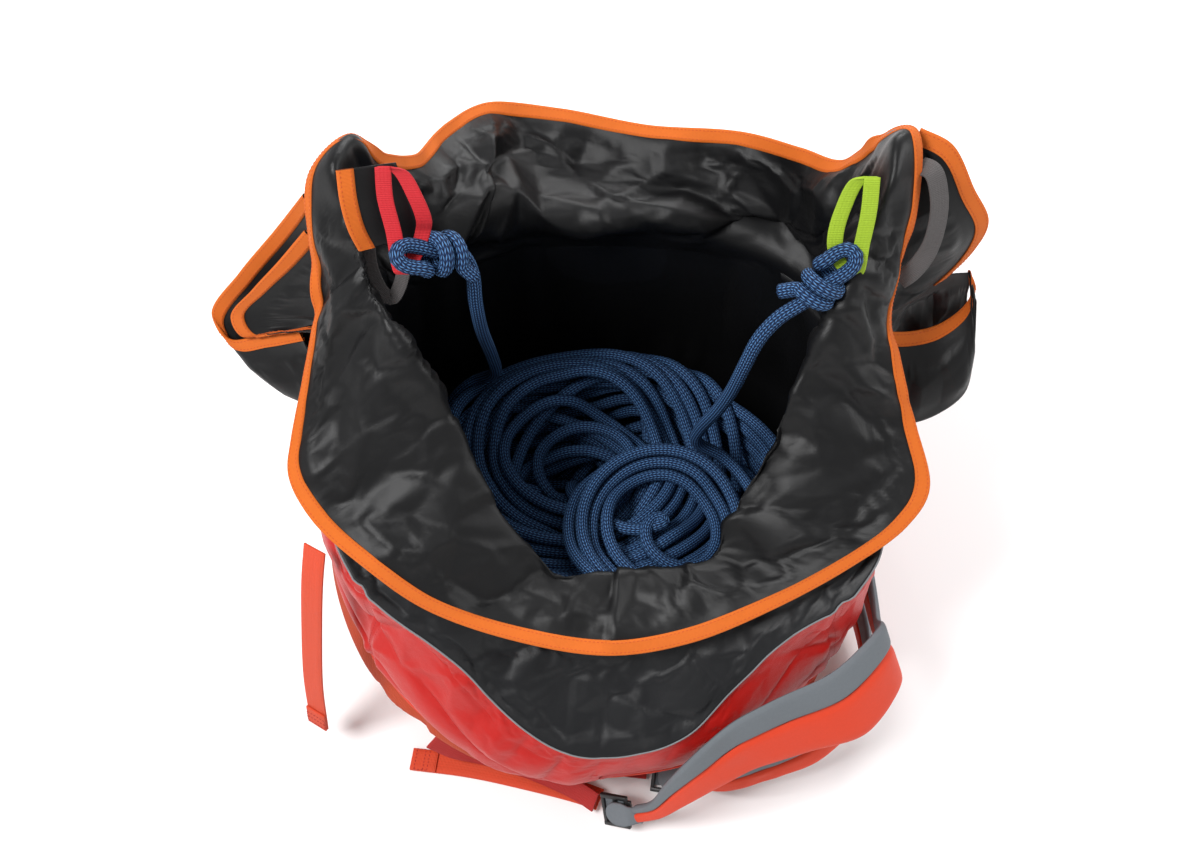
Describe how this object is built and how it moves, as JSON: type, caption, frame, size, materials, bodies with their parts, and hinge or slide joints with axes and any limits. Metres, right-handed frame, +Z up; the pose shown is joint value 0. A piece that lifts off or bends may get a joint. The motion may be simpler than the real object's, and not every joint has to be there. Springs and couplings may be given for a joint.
{
  "type": "rope storage bag",
  "caption": "Soft tub rope bag, held open, with a sewn-in tarp funnel, coloured tie-in loops, a flaked rope knotted to them, padded shoulder straps and compression straps.",
  "frame": {"origin": "centre of the flat underside of the base, on the floor", "axes": "+Z up out of the mouth, +X along the bag's longer side towards the green tie-in loop, -Y towards the shoulder straps"},
  "size_m": [0.617, 0.5209, 0.5227],
  "materials": {
    "rust_fabric": "ribbed heavy woven fabric, matt",
    "red_nylon": "coated plain-weave nylon, satin",
    "rim_piping": "corded piping, matt",
    "black_lining": "coated lining fabric, satin",
    "black_tarp": "coated ripstop-free nylon, glossy and crinkled",
    "orange_binding": "grosgrain tape, matt, stitched",
    "grey_webbing": "woven webbing, matt",
    "red_loop_webbing": "woven webbing, matt",
    "green_loop_webbing": "woven webbing, matt",
    "rope_sheath": "braided kernmantle sheath, matt",
    "strap_fabric": "plain-weave fabric over foam, matt",
    "grey_strap_trim": "plain-weave fabric over foam, matt",
    "coral_webbing": "woven webbing, matt",
    "lock_plastic": "moulded acetal, satin"
  },
  "bodies": {
    "bag": {"base_panel": "rust_fabric", "front_panel": "red_nylon", "right_end_panel": "red_nylon", "rear_panel": "red_nylon", "left_end_panel": "red_nylon", "rim_piping": "rim_piping", "liner": "black_lining", "front_skirt": "black_lining", "tarp_lining": "black_tarp", "tarp_front": "black_tarp", "tarp_right": "black_tarp", "tarp_rear": "black_tarp", "tarp_left": "black_tarp", "left_fold": "black_tarp", "right_fold": "black_tarp", "left_grip_tab": "black_tarp", "tarp_binding": "orange_binding", "left_fold_binding": "orange_binding", "right_fold_binding": "orange_binding", "left_grip_tab_binding": "orange_binding", "red_tie_in_loop": "red_loop_webbing", "green_tie_in_loop": "green_loop_webbing", "rope_pile": "rope_sheath", "rope_left_run": "rope_sheath", "rope_right_run": "rope_sheath", "rope_left_knot": "rope_sheath", "rope_right_knot": "rope_sheath", "right_strap_anchor": "coral_webbing", "left_strap_anchor": "coral_webbing", "left_side_lock": "lock_plastic", "right_side_lock": "lock_plastic"},
    "upper_strap": {"upper_strap_pad": "strap_fabric", "upper_strap_trim": "grey_strap_trim", "upper_strap_webbing": "coral_webbing", "upper_strap_tail": "coral_webbing"},
    "lower_strap": {"lower_strap_pad": "strap_fabric", "lower_strap_trim": "grey_strap_trim", "lower_strap_webbing": "coral_webbing"},
    "upper_lock": {"upper_lock": "lock_plastic", "upper_lock_webbing": "coral_webbing"},
    "lower_lock": {"lower_lock": "lock_plastic", "lower_lock_webbing": "coral_webbing"},
    "left_handle": {"left_handle": "grey_webbing"},
    "right_handle": {"right_handle": "grey_webbing"},
    "left_side_strap": {"left_side_strap": "coral_webbing"},
    "right_side_strap": {"right_side_strap": "coral_webbing"}
  },
  "joints": [
    {"name": "upper_strap_swing", "type": "hinge", "parent": "bag", "child": "upper_strap", "pos_m": [0.237, -0.034, 0.106], "axis": [-0.9249, -0.3499, -0.1486], "range_deg": [0, 10]},
    {"name": "lower_strap_swing", "type": "hinge", "parent": "bag", "child": "lower_strap", "pos_m": [0.241, -0.036, 0.041], "axis": [-0.8774, -0.4658, -0.1149], "range_deg": [0, 3.3]},
    {"name": "upper_lock_tilt", "type": "hinge", "parent": "upper_strap", "child": "upper_lock", "pos_m": [0.0253, -0.2406, 0.0302], "axis": [-0.2006, 0.662, 0.7222], "range_deg": [0, 30]},
    {"name": "lower_lock_tilt", "type": "hinge", "parent": "lower_strap", "child": "lower_lock", "pos_m": [0.0726, -0.2036, 0.0113], "axis": [0.1659, -0.907, -0.3871], "range_deg": [0, 18]},
    {"name": "left_handle_flip", "type": "hinge", "parent": "bag", "child": "left_handle", "pos_m": [-0.153, 0.0455, 0.45], "axis": [-0.8662, 0.2998, 0.3998], "range_deg": [0, 15]},
    {"name": "right_handle_flip", "type": "hinge", "parent": "bag", "child": "right_handle", "pos_m": [0.236, 0.0675, 0.455], "axis": [0.1039, -0.5842, -0.8049], "range_deg": [0, 20]},
    {"name": "left_side_strap_swing", "type": "hinge", "parent": "bag", "child": "left_side_strap", "pos_m": [-0.216, -0.114, 0.29], "axis": [-0.862, 0.507, 0], "range_deg": [0, 50]},
    {"name": "right_side_strap_swing", "type": "hinge", "parent": "bag", "child": "right_side_strap", "pos_m": [0.196, 0.164, 0.288], "axis": [0.7071, -0.7071, 0], "range_deg": [0, 50]}
  ],
  "couplings": [
    {"joint": "lower_strap_swing", "follows": "upper_strap_swing", "ratio": 0.3}
  ]
}
